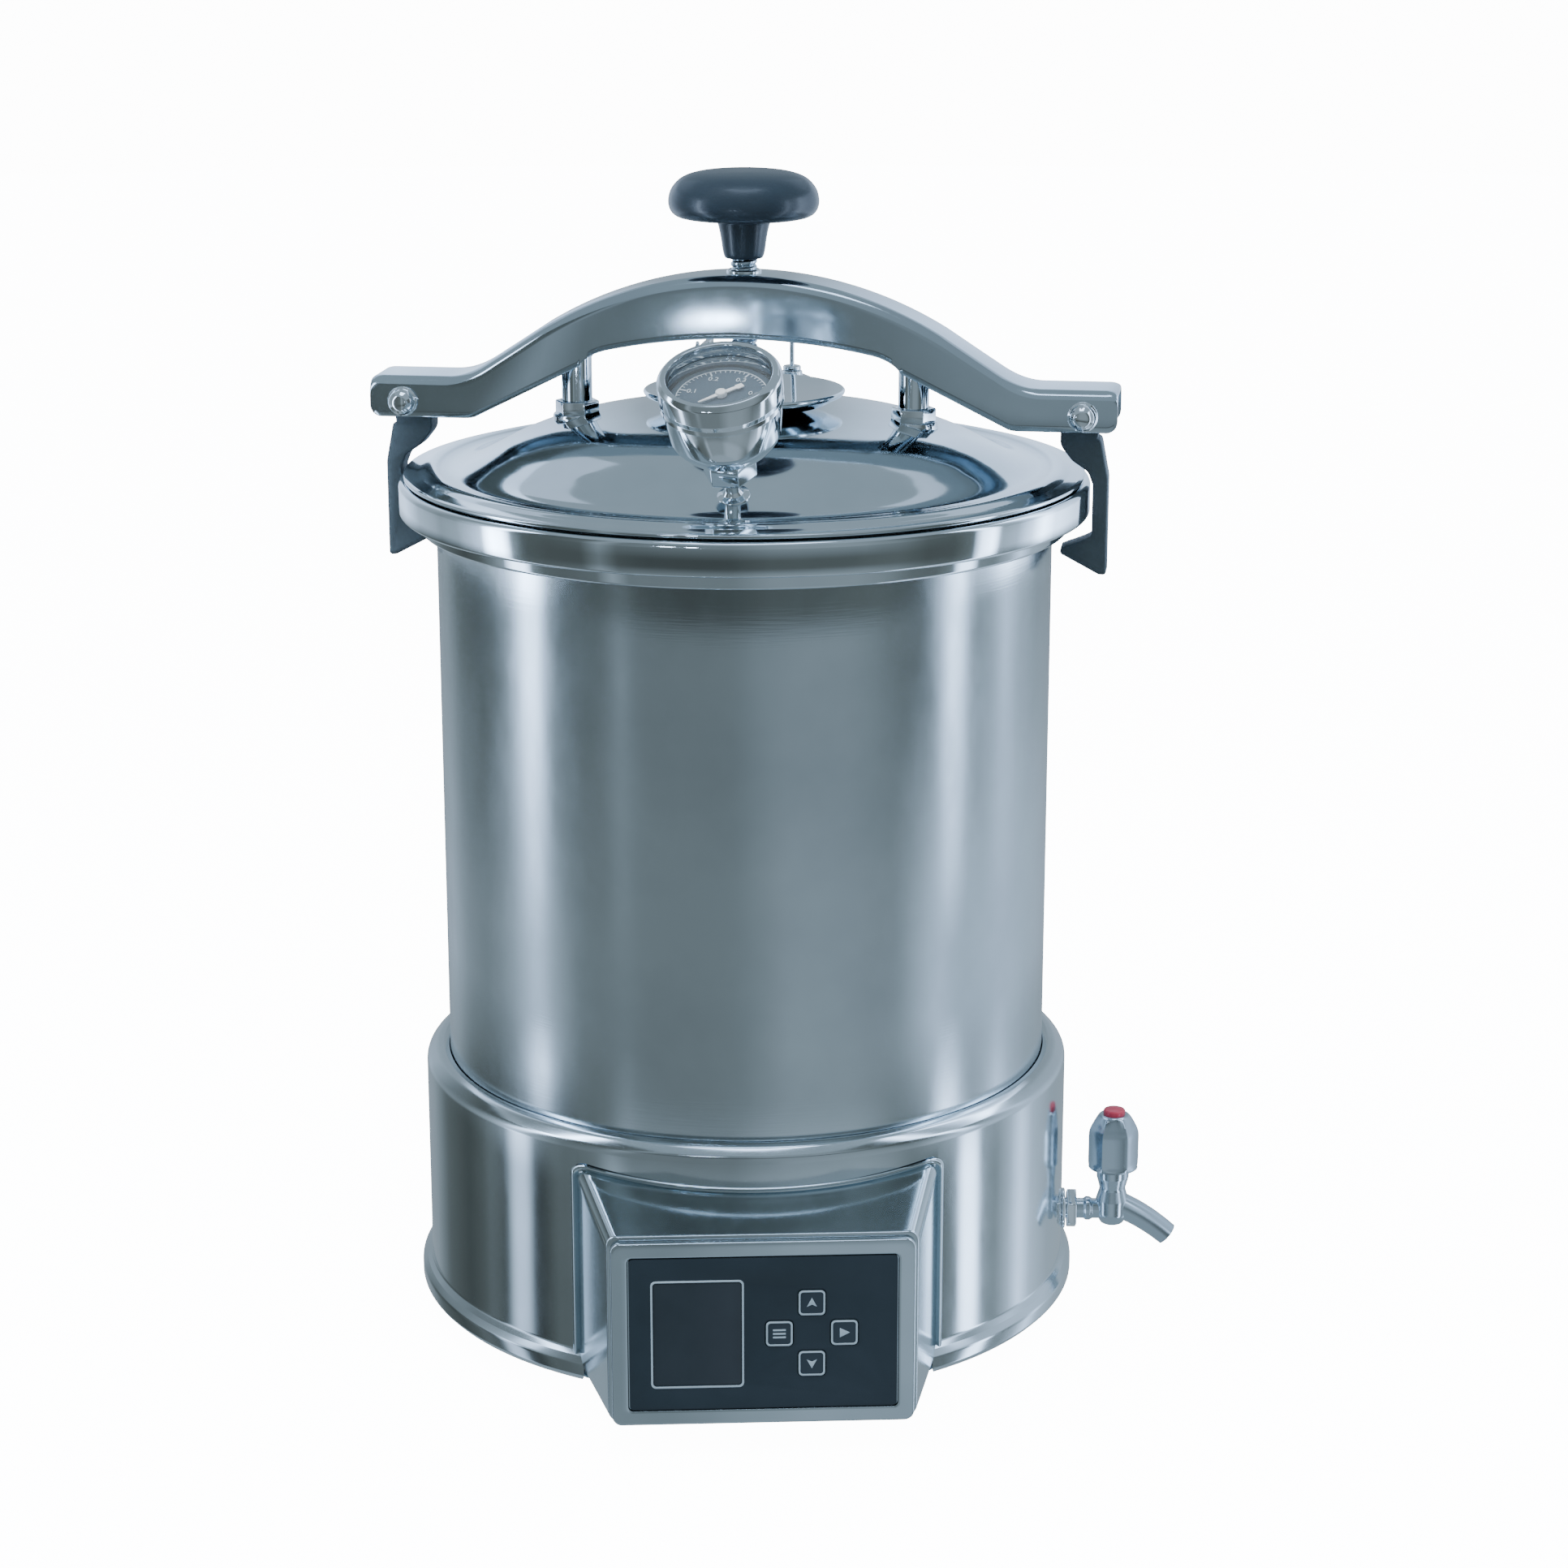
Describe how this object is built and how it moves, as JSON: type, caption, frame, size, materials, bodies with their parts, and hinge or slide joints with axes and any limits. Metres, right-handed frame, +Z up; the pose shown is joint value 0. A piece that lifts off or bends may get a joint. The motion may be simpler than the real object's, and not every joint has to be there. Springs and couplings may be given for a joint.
{
  "type": "portable electric steam steriliser",
  "caption": "Stainless pressure vessel on a heated base with a control panel, a drain tap and a domed lid clamped by a bridge, swinging hooks and a hand screw.",
  "frame": {"origin": "on the vessel's axis, in the underside of the base plate; the rubber feet reach 10 mm lower", "axes": "+Z up along the vessel's axis, -Y towards the control panel's front, +X towards the drain tap"},
  "size_m": [0.3754, 0.349, 0.54],
  "materials": {
    "polished_steel": "polished stainless sheet with a cool blue-grey tint",
    "dark_steel": "satin, darkened steel",
    "chrome_plate": "bright plated",
    "foot_rubber": "matte",
    "gasket_silicone": "soft translucent silicone",
    "knob_plastic": "satin moulded phenolic",
    "panel_film": "embossed dark film",
    "dial_face": "printed matt dial",
    "board_green": "solder-masked board",
    "black_plastic": "moulded",
    "clear_glass": "clear",
    "red_plastic": "moulded",
    "white_paint": "satin white"
  },
  "bodies": {
    "base": {"base_shell": "polished_steel", "base_plate": "polished_steel", "rubber_foot_1": "foot_rubber", "rubber_foot_2": "foot_rubber", "rubber_foot_3": "foot_rubber", "rubber_foot_4": "foot_rubber", "control_box": "polished_steel", "panel_bezel": "polished_steel", "membrane_panel": "panel_film", "display_window": "panel_film", "display_module": "black_plastic", "circuit_board": "board_green", "power_inlet": "black_plastic", "heater_relay": "black_plastic", "vessel": "polished_steel", "vessel_rim_ring": "polished_steel", "lid_gasket": "gasket_silicone", "heating_element": "dark_steel", "temperature_probe": "polished_steel", "water_level_probe": "polished_steel", "trivet": "polished_steel", "drain_pipe": "polished_steel", "overheat_cutout": "black_plastic", "tap_nut": "chrome_plate", "tap_body": "chrome_plate"},
    "tap_knob": {"tap_handle": "chrome_plate", "tap_cap": "red_plastic"},
    "up_key": {"key_up": "panel_film"},
    "down_key": {"key_down": "panel_film"},
    "left_key": {"key_left": "panel_film"},
    "right_key": {"key_right": "panel_film"},
    "lid_body": {"lid": "polished_steel", "press_disc": "polished_steel", "guide_post_left": "polished_steel", "guide_post_right": "polished_steel", "post_collar_left": "chrome_plate", "post_collar_right": "chrome_plate", "gauge_stem": "chrome_plate", "gauge_nut": "chrome_plate", "gauge_case": "chrome_plate", "gauge_dial": "dial_face", "gauge_glass": "clear_glass", "gauge_bezel": "chrome_plate", "safety_valve_body": "chrome_plate", "vent_valve_body": "chrome_plate"},
    "gauge_hand": {"gauge_needle": "white_paint"},
    "safety_stem": {"safety_valve_stem": "chrome_plate"},
    "vent_arm": {"vent_lever": "chrome_plate"},
    "bridge_body": {"bridge": "polished_steel", "screw_bush": "chrome_plate", "hinge_pin_left": "chrome_plate", "hinge_pin_right": "chrome_plate", "acorn_nut_left": "chrome_plate", "acorn_nut_right": "chrome_plate"},
    "left_hook": {"hook_left": "dark_steel"},
    "right_hook": {"hook_right": "dark_steel"},
    "hand_screw": {"spindle": "polished_steel", "knob": "knob_plastic"}
  },
  "joints": [
    {"name": "lid_lift", "type": "slide", "parent": "base", "child": "lid_body", "axis": [0, 0, 1], "range_m": [0, 0.09]},
    {"name": "left_hook_swing", "type": "hinge", "parent": "bridge_body", "child": "left_hook", "pos_m": [-0.15324, 0.02923, 0.4242], "axis": [0.1874, 0.9823, 0], "range_deg": [0, 90]},
    {"name": "right_hook_swing", "type": "hinge", "parent": "bridge_body", "child": "right_hook", "pos_m": [0.15324, -0.02923, 0.4242], "axis": [-0.1874, -0.9823, 0], "range_deg": [0, 90]},
    {"name": "knob_turn", "type": "hinge", "parent": "lid_body", "child": "hand_screw", "pos_m": [0, 0, 0.5], "axis": [0, 0, -1], "range_deg": [-361, 541]},
    {"name": "bridge_travel", "type": "slide", "parent": "lid_body", "child": "bridge_body", "axis": [0, 0, 1], "range_m": [-0.003, 0.0045]},
    {"name": "gauge_reading", "type": "hinge", "parent": "lid_body", "child": "gauge_hand", "pos_m": [-0.01485, -0.13536, 0.45044], "axis": [0.1087, 0.4002, -0.91], "range_deg": [0, 262], "stiffness_Nm_per_rad": 0.0001},
    {"name": "safety_valve_pull", "type": "slide", "parent": "lid_body", "child": "safety_stem", "axis": [0, 0, 1], "range_m": [0, 0.003], "stiffness_N_per_m": 400},
    {"name": "vent_lever_turn", "type": "hinge", "parent": "lid_body", "child": "vent_arm", "pos_m": [-0.0172, 0.05927, 0.44053], "axis": [0.9823, -0.1874, 0], "range_deg": [0, 90]},
    {"name": "tap_turn", "type": "hinge", "parent": "base", "child": "tap_knob", "pos_m": [0.17745, -0.01397, 0.06], "axis": [0, 0, 1], "range_deg": [0, 180]},
    {"name": "up_key_press", "type": "slide", "parent": "base", "child": "up_key", "axis": [0, 1, 0], "range_m": [0, 0.0005], "stiffness_N_per_m": 600},
    {"name": "down_key_press", "type": "slide", "parent": "base", "child": "down_key", "axis": [0, 1, 0], "range_m": [0, 0.0005], "stiffness_N_per_m": 600},
    {"name": "left_key_press", "type": "slide", "parent": "base", "child": "left_key", "axis": [0, 1, 0], "range_m": [0, 0.0005], "stiffness_N_per_m": 600},
    {"name": "right_key_press", "type": "slide", "parent": "base", "child": "right_key", "axis": [0, 1, 0], "range_m": [0, 0.0005], "stiffness_N_per_m": 600}
  ],
  "couplings": [
    {"joint": "left_hook_swing", "follows": "lid_lift", "rad_per_m": 17.45},
    {"joint": "right_hook_swing", "follows": "lid_lift", "rad_per_m": 17.45},
    {"joint": "knob_turn", "follows": "bridge_travel", "rad_per_m": 2094.4}
  ]
}
